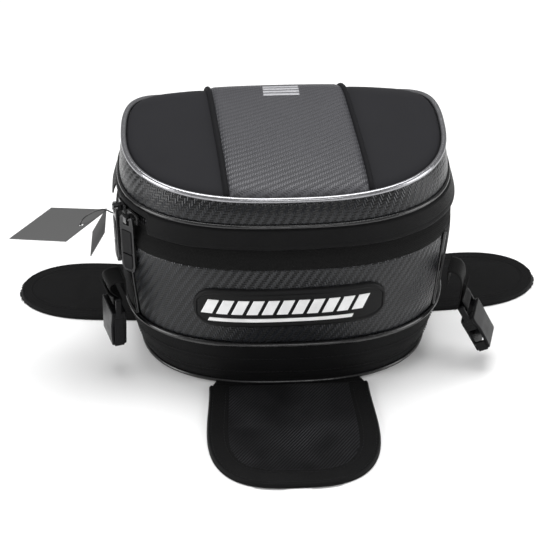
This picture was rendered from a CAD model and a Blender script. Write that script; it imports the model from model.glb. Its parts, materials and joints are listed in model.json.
# A soft motorcycle tank bag, dressed in fabric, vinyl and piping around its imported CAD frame.
# Metres, +Z up. The badge faces -Y. Every place comes from the frame's boxes and its outline.
import json
import math

import bmesh
import bpy
import numpy as np
from mathutils import Matrix, Vector
from mathutils.bvhtree import BVHTree

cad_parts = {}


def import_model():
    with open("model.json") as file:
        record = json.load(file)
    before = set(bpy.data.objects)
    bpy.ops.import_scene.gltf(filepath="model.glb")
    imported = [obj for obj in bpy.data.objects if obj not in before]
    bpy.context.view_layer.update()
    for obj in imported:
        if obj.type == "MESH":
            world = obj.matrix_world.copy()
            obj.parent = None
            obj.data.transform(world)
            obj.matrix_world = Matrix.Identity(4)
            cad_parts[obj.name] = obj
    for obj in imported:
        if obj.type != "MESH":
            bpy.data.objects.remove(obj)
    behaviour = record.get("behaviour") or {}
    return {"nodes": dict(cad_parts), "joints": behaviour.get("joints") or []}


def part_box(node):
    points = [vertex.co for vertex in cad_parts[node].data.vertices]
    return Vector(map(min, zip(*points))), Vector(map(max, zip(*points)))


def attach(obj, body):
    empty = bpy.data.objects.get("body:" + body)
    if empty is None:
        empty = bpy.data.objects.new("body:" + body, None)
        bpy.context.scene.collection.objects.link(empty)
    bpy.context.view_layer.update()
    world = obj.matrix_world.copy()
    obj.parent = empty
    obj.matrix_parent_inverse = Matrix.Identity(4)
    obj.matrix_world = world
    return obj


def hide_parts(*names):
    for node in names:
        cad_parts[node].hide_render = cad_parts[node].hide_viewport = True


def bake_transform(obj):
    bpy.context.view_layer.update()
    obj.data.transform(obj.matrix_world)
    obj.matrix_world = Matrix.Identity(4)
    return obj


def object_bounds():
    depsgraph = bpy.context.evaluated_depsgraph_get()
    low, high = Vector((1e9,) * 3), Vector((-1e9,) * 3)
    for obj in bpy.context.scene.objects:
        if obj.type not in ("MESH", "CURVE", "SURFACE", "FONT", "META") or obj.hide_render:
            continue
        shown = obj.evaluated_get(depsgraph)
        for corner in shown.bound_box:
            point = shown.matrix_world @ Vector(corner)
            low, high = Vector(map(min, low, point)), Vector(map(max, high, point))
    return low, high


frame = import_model()
CAD_LOW, CAD_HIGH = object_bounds()
NODES = frame["nodes"]
MM = 0.001
TAU = 2 * math.pi


# ---- The bag's outline ------------------------------------------------------------------------
# Half sizes at several levels, read from the boxes of the pieces that lie on the outline.
HEX_REACH = math.cos(math.pi / 6)  # of a six-sided cord across its flats, as a share of its radius
FRONT_SQUARENESS = 2.56
REAR_SQUARENESS = 2.5
RIM_SLOPE = 0.117
RIM_FALL = 7.5  # per metre, behind the crest
RIM_CREST_Y = 26 * MM
CROWN = 8 * MM


def half_sizes(node, grow):
    """A piece's half sizes, grown by how far the outline lies outside its box."""
    low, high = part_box(node)
    return {"side": high.x + grow, "front": -low.y + grow, "rear": high.y + grow}


def frame_sections():
    foot = half_sizes("base_pad", 6 * MM)
    waist = half_sizes("lower_piping", -(2.3 * HEX_REACH + 0.2) * MM)
    top = half_sizes("rear_panel", 0)
    top["front"] = -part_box("front_panel")[0].y
    zipper = half_sizes("storm_flap", 0)
    zipper["rear"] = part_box("hinge_strip")[1].y + 0.3 * MM
    lid = half_sizes("lid_piping", (0.8 - 1.9 * HEX_REACH) * MM)
    rim = half_sizes("rim_piping", (0.4 - 2.6 * HEX_REACH) * MM)
    levels = [0, 53, 133.6, 155.5, 174, 198]
    return [(z * MM, s) for z, s in zip(levels, [foot, waist, top, zipper, lid, rim])]


SECTIONS = frame_sections()
ZIP_TOP, RIM_LEVEL = SECTIONS[-2][0], SECTIONS[-1][0]


def section(level):
    """Half sizes of the outline at a level: to the side, to the front and to the rear."""
    level = min(max(level, SECTIONS[0][0]), SECTIONS[-1][0])
    for (low, a), (high, b) in zip(SECTIONS, SECTIONS[1:]):
        if level <= high:
            t = (level - low) / (high - low)
            return [a[k] + t * (b[k] - a[k]) for k in ("side", "front", "rear")]
    return list(SECTIONS[-1][1].values())


def reach(angle, level):
    """Distance from the axis to the outline, towards an angle in radians from +X."""
    side, front, rear = section(level)
    is_front = math.sin(angle) < 0
    depth, power = (front, FRONT_SQUARENESS) if is_front else (rear, REAR_SQUARENESS)
    across = abs(math.cos(angle) / side) ** power
    along = abs(math.sin(angle) / depth) ** power
    return (across + along) ** (-1 / power)


def lift(y, level):
    """How far the lid's rim climbs above its level: up from the front, and down to the hinge."""
    share = min(max((level - ZIP_TOP) / (RIM_LEVEL - ZIP_TOP), 0), 1)
    fall = RIM_FALL * (y - RIM_CREST_Y) ** 2 if y > RIM_CREST_Y else 0
    return share * (RIM_SLOPE * (y + section(RIM_LEVEL)[1]) - fall)


def on_outline(angle, level, inset=0.0):
    r = reach(angle, level) - inset
    y = r * math.sin(angle)
    return Vector((r * math.cos(angle), y, level + lift(y, level)))


def run_along(points):
    """Distance along a path to each of its points."""
    steps = np.linalg.norm(np.diff(np.array(points, float), axis=0), axis=1)
    return np.concatenate([[0], np.cumsum(steps)])


def even_angles(start, end, count, level):
    """Angles in radians from start to end in degrees, evenly spaced along the outline, and its length."""
    fine = np.radians(np.linspace(start, end, 721))
    run = run_along([on_outline(a, level)[:2] for a in fine])
    return np.interp(np.linspace(0, run[-1], count), run, fine), run[-1]


# ---- Making meshes ----------------------------------------------------------------------------
def linked(name, data):
    """An object in the scene that holds the data."""
    made = bpy.data.objects.new(name, data)
    bpy.context.scene.collection.objects.link(made)
    return made


def shade(mesh, smooth):
    mesh.polygons.foreach_set("use_smooth", [smooth] * len(mesh.polygons))


def lay_cloth(mesh, coords):
    """Stores each vertex's place on the cloth, for the weave."""
    cloth = mesh.attributes.new("cloth", "FLOAT_VECTOR", "POINT")
    cloth.data.foreach_set("vector", np.asarray(coords, np.float32).ravel())


def new_piece(name, verts, faces, coords=None, smooth=True):
    """A mesh object. coords, if given, is each vertex's place on the cloth."""
    mesh = bpy.data.meshes.new(name)
    mesh.from_pydata([tuple(v) for v in verts], [], faces)
    mesh.validate()
    if coords is not None:
        lay_cloth(mesh, coords)
    shade(mesh, smooth)
    return linked(name, mesh)


def grid_faces(rows, columns, wrap=False, start=0):
    """Quads of a grid whose columns run round (wrap) or stay open."""
    faces = []
    for i in range(rows - 1):
        low, high = start + i * columns, start + (i + 1) * columns
        for j in range(columns if wrap else columns - 1):
            k = (j + 1) % columns
            faces.append((low + j, low + k, high + k, high + j))
    return faces


def end_caps(first, last, sides):
    """The two faces that close a bar whose first and last rings start at these vertices."""
    return [tuple(range(first, first + sides))[::-1], tuple(range(last, last + sides))]


def edge_indices(rows, columns):
    """The vertices along the four sides of a grid."""
    return [i * columns + j for i in range(rows) for j in range(columns)
            if i in (0, rows - 1) or j in (0, columns - 1)]


def finish_mesh(piece, merge):
    """Joins what lies within the merge distance, if it isn't 0, and turns every face outwards."""
    work = bmesh.new()
    work.from_mesh(piece.data)
    if merge:
        bmesh.ops.remove_doubles(work, verts=work.verts, dist=merge)
    bmesh.ops.recalc_face_normals(work, faces=work.faces)
    work.to_mesh(piece.data)
    work.free()
    return piece


def modify(piece, kind, **settings):
    """Adds one modifier and applies it."""
    modifier = piece.modifiers.new(kind.lower(), kind)
    for key, value in settings.items():
        setattr(modifier, key, value)
    graph = bpy.context.evaluated_depsgraph_get()
    mesh = bpy.data.meshes.new_from_object(piece.evaluated_get(graph))
    piece.modifiers.clear()
    piece.data = mesh
    return piece


def thicken(piece, thickness, offset=-1):
    return modify(piece, "SOLIDIFY", thickness=thickness, offset=offset)


def round_section(centre, side, up, radius, sides):
    """Points of a circle about a centre."""
    turns = [TAU * k / sides for k in range(sides)]
    return [centre + (side * math.cos(turn) + up * math.sin(turn)) * radius for turn in turns]


def tube(name, points, radius, sides=12, closed=False):
    """A round cord along points."""
    count = len(points)
    verts, coords, run = [], [], 0.0
    previous = None
    for i, point in enumerate(points):
        ahead = points[(i + 1) % count] if closed or i < count - 1 else point
        behind = points[i - 1] if closed or i > 0 else point
        along = (ahead - behind).normalized()
        if previous is None:
            helper = Vector((0, 0, 1)) if abs(along.z) < 0.9 else Vector((1, 0, 0))
            side = along.cross(helper).normalized()
        else:
            side = (previous - along * previous.dot(along)).normalized()
        previous = side
        verts += round_section(point, side, along.cross(side), radius, sides)
        coords += [(run, radius * TAU * k / sides, 0) for k in range(sides)]
        run += (ahead - point).length
    faces = grid_faces(count, sides, wrap=True)
    last = (count - 1) * sides
    if closed:
        faces += [(last + k, last + (k + 1) % sides, (k + 1) % sides, k) for k in range(sides)]
    else:
        faces += end_caps(0, last, sides)
    return finish_mesh(new_piece(name, verts, faces, coords), 1e-7)


def wall_sheet(name, profile, start, end, columns, thickness, shape=None):
    """A closed shell round the bag. profile is a list of (inset, level), low to high, in metres;
    shape(share round, share up) gives a further inset."""
    middle = profile[len(profile) // 2][1]
    full = abs(end - start) >= 360
    angles, run = even_angles(start, end, columns + 1 if full else columns, middle)
    verts, coords = [], []
    for i, ((inset, level), height) in enumerate(zip(profile, run_along(profile))):
        for j, angle in enumerate(angles):
            across = j / (len(angles) - 1)
            more = shape(across, i / (len(profile) - 1)) if shape else 0
            verts.append(on_outline(angle, level, inset + more))
            coords.append((across * run, height, 0))
    piece = new_piece(name, verts, grid_faces(len(profile), len(angles)), coords)
    finish_mesh(piece, 1e-5 if full else 0)
    face_away(piece, Vector((0, 0, 0.1)))
    return thicken(piece, thickness)


def face_away(piece, centre):
    """Turns an open sheet so that its faces look away from a point."""
    total = sum((p.center - centre).dot(p.normal) * p.area for p in piece.data.polygons)
    if total < 0:
        piece.data.flip_normals()


def profile_line(points, steps):
    """A polyline of (inset, level) in millimetres, evened out to a number of steps, in metres."""
    points = np.array(points, float) * MM
    run = run_along(points)
    at = np.linspace(0, run[-1], steps + 1)
    return list(zip(np.interp(at, run, points[:, 0]), np.interp(at, run, points[:, 1])))


def give(piece, material, body=None, replaces=()):
    """Dresses a piece, and says what it rides on and what it stands for."""
    piece.data.materials.clear()
    piece.data.materials.append(material)
    if body:
        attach(piece, body)
    if replaces:
        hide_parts(*replaces)
    return piece


# ---- Materials --------------------------------------------------------------------------------
class Finish:
    """A Principled material and the nodes that feed its colour, roughness and bump."""

    def __init__(self, name, roughness=0.5, **fixed):
        self.material = bpy.data.materials.new(name)
        self.material.use_nodes = True
        self.tree = self.material.node_tree
        self.shader = self.tree.nodes["Principled BSDF"]
        self.shader.inputs["Roughness"].default_value = roughness
        for socket, value in fixed.items():
            self.shader.inputs[socket.replace("_", " ")].default_value = value

    def plug(self, socket, value):
        if isinstance(value, bpy.types.NodeSocket):
            self.tree.links.new(value, socket)
        else:
            socket.default_value = value

    def node(self, kind, values=(), **settings):
        made = self.tree.nodes.new("ShaderNode" + kind)
        for key, value in settings.items():
            setattr(made, key, value)
        for key, value in dict(values).items():
            self.plug(made.inputs[key], value)
        return made

    def math(self, operation, *values):
        made = self.node("Math", operation=operation)
        for socket, value in zip(made.inputs, values):
            self.plug(socket, value)
        return made.outputs[0]

    def place(self, on_cloth=True):
        """The point's place on its cloth, or in the frame for a piece without one."""
        if on_cloth:
            return self.node("Attribute", attribute_name="cloth").outputs["Vector"]
        return self.node("TexCoord").outputs["Object"]

    def spin(self, place, degrees, stretch=(1, 1, 1)):
        made = self.node("Mapping", {"Vector": place})
        made.inputs["Rotation"].default_value = (0, 0, math.radians(degrees))
        made.inputs["Scale"].default_value = stretch
        return made.outputs[0]

    def noise(self, place, size, detail=2.0, roughness=0.5):
        values = {"Vector": place, "Scale": 1 / size, "Detail": detail, "Roughness": roughness}
        return self.node("TexNoise", values).outputs["Fac"]

    def spread(self, value, low, high, to_low=0.0, to_high=1.0):
        values = {"Value": value, "From Min": low, "From Max": high, "To Min": to_low, "To Max": to_high}
        return self.node("MapRange", values).outputs["Result"]

    def blend(self, share, low, high):
        made = self.node("Mix", data_type="RGBA")
        self.plug(made.inputs["Factor"], share)
        for key, value in ((6, low), (7, high)):
            self.plug(made.inputs[key], value)
        return made.outputs[2]

    def color(self, value):
        self.plug(self.shader.inputs["Base Color"], value)

    def rough(self, value):
        self.plug(self.shader.inputs["Roughness"], value)

    def bump(self, height, distance, strength=1.0):
        """Adds a bump on top of those before it."""
        made = self.node("Bump", {"Height": height, "Distance": distance, "Strength": strength})
        before = self.shader.inputs["Normal"]
        if before.is_linked:
            self.plug(made.inputs["Normal"], before.links[0].from_socket)
        self.tree.links.new(made.outputs["Normal"], before)


def rgb(r, g, b):
    return (r, g, b, 1)


def tint(color, share=1.0, more=0.0):
    """A colour made lighter or darker by a share, or by an amount."""
    return rgb(*[min(1, c * share + more) for c in color])


def cells(finish, place, pitch):
    """Whole and part numbers of the thread crossing at a place: column, row, and how far across each."""
    split = finish.node("SeparateXYZ", {"Vector": place})
    u = finish.math("DIVIDE", split.outputs["X"], pitch)
    v = finish.math("DIVIDE", split.outputs["Y"], pitch)
    return (finish.math("FLOOR", u), finish.math("FLOOR", v),
            finish.math("FRACT", u), finish.math("FRACT", v))


def roundness(finish, across):
    """1 in the middle of a thread and 0 at its edges."""
    off = finish.math("MULTIPLY_ADD", across, 2.0, -1.0)
    return finish.math("SUBTRACT", 1.0, finish.math("MULTIPLY", off, off))


def woven(finish, place, pitch, repeat):
    """Height and which set of threads is on top, for a weave that shifts by one each row."""
    column, row, across, along = cells(finish, place, pitch)
    step = finish.math("FLOORED_MODULO", finish.math("SUBTRACT", column, row), float(repeat))
    over = finish.math("LESS_THAN", step, repeat / 2 - 0.01)
    warp, weft = roundness(finish, across), roundness(finish, along)
    under = finish.math("SUBTRACT", 1.0, over)
    height = finish.math("ADD", finish.math("MULTIPLY", warp, over), finish.math("MULTIPLY", weft, under))
    return height, over


def carbon_vinyl(name, dark, light, pitch, turn, gloss, glint):
    """Vinyl embossed and printed as a 2 by 2 twill of flat tows."""
    finish = Finish(name, gloss, Specular_IOR_Level=0.36)
    place = finish.place()
    height, over = woven(finish, finish.spin(place, turn), pitch, 4)
    fibres = finish.noise(finish.spin(place, turn, (9, 1, 1)), 1.1 * MM, 2)
    grain = finish.noise(place, 0.5 * MM, 3, 0.7)
    patches = finish.noise(place, 34 * MM, 2)
    tow = finish.blend(finish.math("MULTIPLY", over, finish.spread(fibres, 0.2, 0.8, 0.75, 1)), dark, light)
    worn = finish.blend(finish.spread(patches, 0.3, 0.75, 0, 0.2), tow, light)
    edge = finish.spread(height, 0, 0.5, 0.45, 1)
    finish.color(finish.blend(edge, dark, worn))
    finish.rough(finish.math("ADD", finish.spread(grain, 0.3, 0.7, gloss - 0.05, gloss + 0.08),
                             finish.math("MULTIPLY", over, -glint)))
    finish.bump(finish.math("ADD", height, finish.math("MULTIPLY", over, 0.4)), 0.22 * MM, 1.0)
    finish.bump(grain, 0.05 * MM, 0.35)
    return finish.material


def nylon_cloth(name, color, pitch=0.75 * MM, roughness=0.62, on_cloth=True, contrast=0.55):
    """Plain-woven nylon: fine crossing threads, faint creases and a soft bloom of sheen."""
    finish = Finish(name, roughness, Specular_IOR_Level=0.08, Sheen_Weight=0.01, Sheen_Roughness=0.5)
    place = finish.place(on_cloth)
    height, _ = woven(finish, place, pitch, 2)
    creases = finish.noise(place, 26 * MM, 3, 0.55)
    lint = finish.noise(place, 1.3 * MM, 2, 0.7)
    shade = finish.math("MULTIPLY", finish.spread(height, 0, 1, contrast, 1),
                        finish.spread(creases, 0.25, 0.8, 0.82, 1.25))
    finish.color(finish.blend(shade, rgb(0, 0, 0), tint(color, 1.15)))
    finish.rough(finish.spread(lint, 0.3, 0.75, roughness - 0.08, roughness + 0.1))
    finish.bump(height, 0.09 * MM, 0.8)
    finish.bump(creases, 1.6 * MM, 0.22)
    return finish.material


def ballistic_cloth():
    """Heavy basket weave whose threads catch the light at each crossing."""
    finish = Finish("ballistic_nylon", 0.42, Specular_IOR_Level=0.12)
    place = finish.place()
    height, over = woven(finish, finish.spin(place, 8), 0.85 * MM, 4)
    drape = finish.noise(place, 48 * MM, 2)
    crossing = finish.math("MULTIPLY", finish.spread(height, 0.35, 1), over)
    catch = finish.math("MULTIPLY", crossing, finish.spread(drape, 0.3, 0.72, 0.12, 1))
    finish.color(finish.blend(catch, rgb(0.002, 0.002, 0.0022), rgb(0.06, 0.06, 0.066)))
    finish.rough(finish.spread(height, 0, 1, 0.6, 0.38))
    finish.bump(finish.math("ADD", height, finish.math("MULTIPLY", over, 0.5)), 0.32 * MM, 1.0)
    finish.bump(drape, 3 * MM, 0.25)
    return finish.material


def zipper_tape():
    """Knitted tape: fine ribs that run across it."""
    finish = Finish("zipper_tape", 0.7, Specular_IOR_Level=0.08)
    place = finish.place()
    height, _ = woven(finish, place, 1.25 * MM, 2)
    lint = finish.noise(place, 1.8 * MM, 3, 0.7)
    bright = finish.math("MULTIPLY", height, finish.spread(lint, 0.35, 0.7, 0.55, 1.2))
    finish.color(finish.blend(bright, rgb(0.0012, 0.0012, 0.0012), rgb(0.011, 0.011, 0.011)))
    finish.bump(height, 0.3 * MM, 0.9)
    return finish.material


def neoprene_cloth(name, color):
    """Smooth stretch cloth on foam, with a knit too fine to count and a soft sheen."""
    finish = Finish(name, 0.72, Specular_IOR_Level=0.1, Sheen_Weight=0.02, Sheen_Roughness=0.4)
    place = finish.place()
    knit = finish.noise(finish.spin(place, 0, (1, 0.4, 1)), 0.42 * MM, 2, 0.6)
    swell = finish.noise(place, 44 * MM, 2)
    tone = finish.math("MULTIPLY", finish.spread(knit, 0.25, 0.75, 0.82, 1.12),
                       finish.spread(swell, 0.3, 0.7, 0.94, 1.06))
    finish.color(finish.blend(tone, rgb(0, 0, 0), tint(color, 1.05)))
    finish.rough(finish.spread(knit, 0.3, 0.7, 0.66, 0.8))
    finish.bump(knit, 0.06 * MM, 0.6)
    return finish.material


def coated_cord(name, color, roughness, metallic, ripple=0.25):
    """Vinyl-covered piping with slow ripples and a few scuffs."""
    finish = Finish(name, roughness, Metallic=metallic, Specular_IOR_Level=0.6)
    place = finish.place()
    waves = finish.noise(place, 7 * MM, 2)
    scuffs = finish.noise(place, 1.6 * MM, 4, 0.7)
    finish.color(finish.blend(finish.spread(waves, 0.3, 0.7), tint(color, 0.86), tint(color)))
    finish.rough(finish.spread(scuffs, 0.35, 0.75, roughness * 0.8, roughness + 0.12))
    finish.bump(waves, 1.1 * MM, ripple)
    return finish.material


def moulded(name, color, roughness, grain=0.5, wear=0.02, metallic=0.0, coat=0.0, shine=0.35):
    """Moulded plastic, rubber or plated metal: fine spark-eroded grain and paler worn edges."""
    finish = Finish(name, roughness, Metallic=metallic, Coat_Weight=coat, Coat_Roughness=0.15,
                    Specular_IOR_Level=shine)
    place = finish.place(on_cloth=False)
    pits = finish.noise(place, grain * MM, 3, 0.65)
    stains = finish.noise(place, 11 * MM, 3)
    edge = finish.spread(finish.node("NewGeometry").outputs["Pointiness"], 0.52, 0.62)
    body = finish.blend(finish.spread(stains, 0.3, 0.7), tint(color, 0.85), tint(color, 1.12))
    finish.color(finish.blend(edge, body, tint(color, more=wear)))
    finish.rough(finish.math("ADD", finish.spread(stains, 0.3, 0.7, roughness - 0.05, roughness + 0.05),
                             finish.spread(pits, 0.3, 0.7, -0.05, 0.07)))
    finish.bump(pits, 0.06 * MM, 0.35)
    return finish.material


def lining_cloth():
    return nylon_cloth("lining_cloth", (0.13, 0.135, 0.145), 0.6 * MM, 0.75, on_cloth=False)


def celled(name, roughness, size, span, dark, light, depth, strength, randomness=1.0, on_cloth=False):
    """Small cells, such as foam pores, mesh holes or glass beads, darker or paler at their edges."""
    finish = Finish(name, roughness)
    values = {"Vector": finish.place(on_cloth), "Scale": 1 / size, "Randomness": randomness}
    distance = finish.node("TexVoronoi", values).outputs["Distance"]
    finish.color(finish.blend(finish.spread(distance, *span), dark, light))
    finish.bump(distance, depth, strength)
    return finish


def fibrous(name, roughness, size, dark, light, strength, on_cloth=False):
    """Card or paper of pressed fibres."""
    finish = Finish(name, roughness)
    fibres = finish.noise(finish.place(on_cloth), size, 4, 0.7)
    finish.color(finish.blend(fibres, dark, light))
    finish.bump(fibres, 0.05 * MM, strength)
    return finish


def foam_block():
    dark, light = rgb(0.03, 0.03, 0.033), rgb(0.08, 0.08, 0.085)
    return celled("cut_foam", 0.95, 1.3 * MM, (0.1, 0.6), dark, light, 0.4 * MM, 0.7).material


def mesh_cloth():
    """Open mesh of the lid's pocket, drawn as dark holes between pale threads."""
    dark, light = rgb(0.004, 0.004, 0.004), rgb(0.06, 0.06, 0.065)
    return celled("pocket_mesh", 0.7, 2.4 * MM, (0.28, 0.4), dark, light, 0.5 * MM, 0.8, 0.15).material


def reflective_film():
    dark, light = rgb(0.34, 0.34, 0.36), rgb(0.5, 0.5, 0.52)
    finish = celled("reflective_film", 0.35, 0.8 * MM, (0.1, 0.6), light, dark, 0.08 * MM, 0.5,
                    on_cloth=True)
    finish.shader.inputs["Specular IOR Level"].default_value = 0.7
    return finish.material


def printed_card():
    dark, light = rgb(0.06, 0.063, 0.063), rgb(0.085, 0.089, 0.089)
    finish = fibrous("printed_card", 0.5, 0.9 * MM, dark, light, 0.4, on_cloth=True)
    finish.shader.inputs["Coat Weight"].default_value = 0.2
    finish.shader.inputs["Coat Roughness"].default_value = 0.3
    return finish.material


def paper_core():
    return fibrous("card_core", 0.8, 0.7 * MM, rgb(0.42, 0.38, 0.3), rgb(0.62, 0.57, 0.47), 0.5).material


WALL_VINYL = carbon_vinyl("wall_carbon_vinyl", rgb(0.002, 0.0021, 0.0024), rgb(0.0115, 0.0125, 0.015),
                          2.15 * MM, -12, 0.3, 0.08)
BAND_VINYL = carbon_vinyl("band_carbon_vinyl", rgb(0.03, 0.03, 0.034), rgb(0.064, 0.064, 0.071),
                          1.7 * MM, 22, 0.44, 0.08)
NYLON = nylon_cloth("black_nylon", (0.0045, 0.0045, 0.0048))
SMOOTH_NYLON = nylon_cloth("coated_nylon", (0.0048, 0.0048, 0.005), 0.5 * MM, 0.5, contrast=0.8)
FRAME_NYLON = nylon_cloth("inner_nylon", (0.006, 0.006, 0.0065), on_cloth=False)
WEBBING = nylon_cloth("webbing", (0.0055, 0.0055, 0.0055), 1.5 * MM, 0.6)
BALLISTIC = ballistic_cloth()
TAPE = zipper_tape()
NEOPRENE = neoprene_cloth("neoprene_face", (0.0155, 0.0155, 0.0175))
CORD_CLOTH = neoprene_cloth("piping_cloth", (0.007, 0.007, 0.008))
GLOSS_CORD = coated_cord("gloss_piping", (0.009, 0.009, 0.0095), 0.2, 0.0)
SILVER_CORD = coated_cord("silver_piping", (0.34, 0.34, 0.355), 0.2, 0.9, 0.15)
BLACK_PLASTIC = moulded("buckle_plastic", (0.0035, 0.0035, 0.004), 0.3, 0.4, 0.006, shine=0.12)
BLACK_METAL = moulded("black_plating", (0.02, 0.02, 0.021), 0.22, 0.3, 0.2, metallic=0.8, coat=0.2)
RUBBER = moulded("soft_rubber", (0.0045, 0.0045, 0.0048), 0.5, 0.35, 0.006, shine=0.16)
PAD_RUBBER = moulded("anti_slip_rubber", (0.008, 0.008, 0.008), 0.75, 2.2, 0.0, shine=0.15)
GRIP_RUBBER = moulded("grip_rubber", (0.005, 0.005, 0.0055), 0.4, 0.3, 0.006, shine=0.12)
WHITE_RUBBER = moulded("white_rubber", (0.8, 0.8, 0.8), 0.45, 0.3, 0.05)
THREAD = nylon_cloth("stitching_thread", (0.013, 0.013, 0.0135), 0.4 * MM, 0.55)
FASTENER = moulded("fastener_plastic", (0.02, 0.02, 0.02), 0.3)
BOARD = moulded("stiffener_board", (0.03, 0.03, 0.032), 0.6)
MAGNET = moulded("magnet_plating", (0.4, 0.4, 0.42), 0.32, 0.3, 0.1, metallic=1.0)
FOAM, LINING, MESH = foam_block(), lining_cloth(), mesh_cloth()
CARD, CARD_CORE, FILM = printed_card(), paper_core(), reflective_film()


# ---- Joints as places ---------------------------------------------------------------------------
JOINTS = {j["name"]: j for j in frame["joints"]}


def joint_place(name):
    """A joint's place and, for a joint whose axis lies level, the level direction that it swings out to."""
    joint = JOINTS[name]
    axis = joint["axis"]
    return Vector(joint["pos_m"]), Vector((-axis[1], axis[0], 0)).normalized()


def local_frame(place, outwards, splay=0.0):
    """Local X across, Y outwards and Z up; splay swings the bottom outwards, in degrees."""
    across = outwards.cross(Vector((0, 0, 1)))
    turn = Matrix((across, outwards, Vector((0, 0, 1)))).transposed().to_4x4()
    return Matrix.Translation(place) @ turn @ Matrix.Rotation(math.radians(splay), 4, "X")


# ---- Sheets shaped like the bag -----------------------------------------------------------------
ROUND_COLUMNS = 180


def ring_sheet(name, rings, thickness=0.0):
    """A dish or dome. rings run from the axis: (share of the outline, inset, level) in metres."""
    verts, coords = [], []
    angles, _ = even_angles(0, 360, ROUND_COLUMNS + 1, rings[-1][2])
    for share, inset, level in rings:
        for angle in angles[:-1]:
            r = max(reach(angle, level) * share - inset, 0.2 * MM)
            x, y = r * math.cos(angle), r * math.sin(angle)
            verts.append(Vector((x, y, level + lift(y, level))))
            coords.append((x, y + (level if share > 0.98 else 0), 0))
    faces = grid_faces(len(rings), ROUND_COLUMNS, wrap=True)
    faces.append(tuple(range(ROUND_COLUMNS)))
    piece = finish_mesh(new_piece(name, verts, faces, coords), 0)
    return thicken(piece, thickness) if thickness else piece


def ring_cord(name, inset, level, radius, count=220, sides=12):
    """Piping round the bag, in a closed loop."""
    angles, _ = even_angles(0, 360, count + 1, level)
    return tube(name, [on_outline(a, level, inset) for a in angles[:-1]], radius, sides, closed=True)


STITCH_LENGTH, STITCH_GAP, THREAD_RADIUS = 2.6 * MM, 1.3 * MM, 0.32 * MM


def stitches(name, points):
    """A row of thread stitches along a path, as one mesh of short rounded bars."""
    run = run_along(points)
    flat = np.array([p[:] for p in points])

    def at(distance):
        return Vector([float(np.interp(distance, run, flat[:, k])) for k in range(3)])

    verts, faces = [], []
    sides, widths = 6, (0.45, 1, 1, 0.45)
    distance = STITCH_GAP / 2
    while distance + STITCH_LENGTH < run[-1]:
        start, end = at(distance), at(distance + STITCH_LENGTH)
        along = (end - start).normalized()
        side = along.orthogonal().normalized()
        base = len(verts)
        for i, width in enumerate(widths):
            centre = start.lerp(end, i / (len(widths) - 1))
            verts += round_section(centre, side, along.cross(side), THREAD_RADIUS * width, sides)
        faces += grid_faces(len(widths), sides, wrap=True, start=base)
        faces += end_caps(base, base + (len(widths) - 1) * sides, sides)
        distance += STITCH_LENGTH + STITCH_GAP
    return new_piece(name, verts, faces, verts)


PUFF_FRAMES = 16
PUFF_LIMIT = 2.5 * MM  # the furthest that a vertex may move


def puff(piece, held, pressure):
    """Fills a sheet by cloth simulation, pinned at the vertices in held, and applies the result."""
    group = piece.vertex_groups.new(name="held")
    group.add(held, 1.0, "REPLACE")
    cloth = piece.modifiers.new("cloth", "CLOTH")
    settings = cloth.settings
    settings.vertex_group_mass = "held"
    settings.quality = 6
    settings.mass = 0.25
    settings.tension_stiffness = 30
    settings.compression_stiffness = 30
    settings.bending_stiffness = 3
    settings.use_pressure = True
    settings.uniform_pressure_force = pressure
    settings.effector_weights.gravity = 0
    cloth.point_cache.frame_start, cloth.point_cache.frame_end = 1, PUFF_FRAMES
    for step in range(1, PUFF_FRAMES + 1):
        bpy.context.scene.frame_set(step)
    graph = bpy.context.evaluated_depsgraph_get()
    filled = piece.evaluated_get(graph).to_mesh()
    after, before = np.zeros((2, len(piece.data.vertices) * 3))
    filled.vertices.foreach_get("co", after)
    piece.data.vertices.foreach_get("co", before)
    move = (after - before).reshape(-1, 3)
    size = np.linalg.norm(move, axis=1, keepdims=True)
    move *= np.minimum(1, PUFF_LIMIT / np.maximum(size, 1e-9))
    piece.modifiers.clear()
    piece.data.vertices.foreach_set("co", before + move.ravel())
    piece.data.update()
    piece.vertex_groups.clear()
    bpy.context.scene.frame_set(1)


# ---- Base ---------------------------------------------------------------------------------------
BOTTOM_CORD = (0.8 * MM, 4.2 * MM, 1.9 * MM)
LOWER_CORD = (-0.2 * MM, 53 * MM, 2.3 * MM)


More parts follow.
